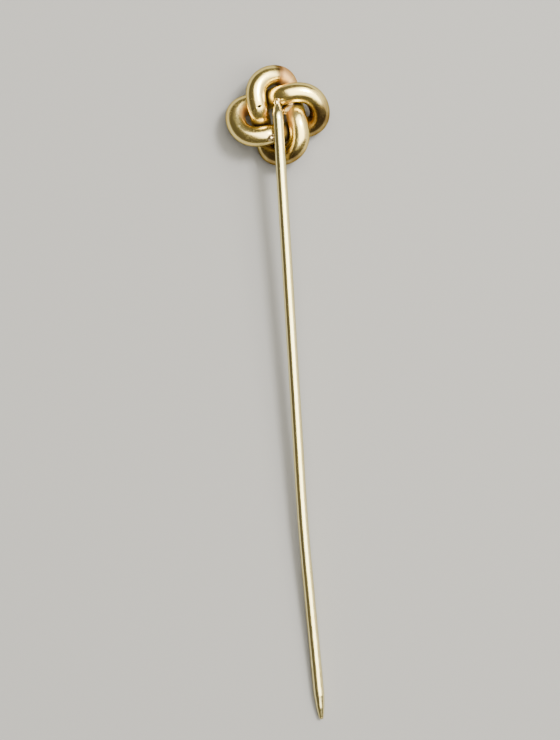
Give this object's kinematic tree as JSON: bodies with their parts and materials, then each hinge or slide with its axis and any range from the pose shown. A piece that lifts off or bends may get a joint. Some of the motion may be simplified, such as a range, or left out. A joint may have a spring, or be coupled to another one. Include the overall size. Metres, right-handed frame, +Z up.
{
  "type": "stick pin",
  "caption": "Straight gold stick pin for a tie or scarf, with a knot of two interlinked hollow tube loops soldered to its head.",
  "frame": {"origin": "centre of the bounding box at the level of the surface that the pin lies on", "axes": "+X from the point to the knot, +Z up, away from the surface: the pin lies on the knot's front and on the lower end of its stem"},
  "size_m": [0.0635, 0.01, 0.0047],
  "materials": {
    "tube_gold": "polished yellow gold tube with a coppery tone in its hollows",
    "stem_gold": "bright drawn gold wire, finely scratched",
    "solder_gold": "cast gold solder, slightly darker and coppery"
  },
  "bodies": {
    "root": {"long_loop": "tube_gold", "cross_loop": "tube_gold", "long_loop_seam": "solder_gold", "cross_loop_seam": "solder_gold", "stem": "stem_gold", "stem_end_solder": "solder_gold", "stem_leg_solder": "solder_gold", "crossing_solder_1": "solder_gold", "crossing_solder_2": "solder_gold", "crossing_solder_3": "solder_gold", "crossing_solder_4": "solder_gold"}
  },
  "joints": []
}
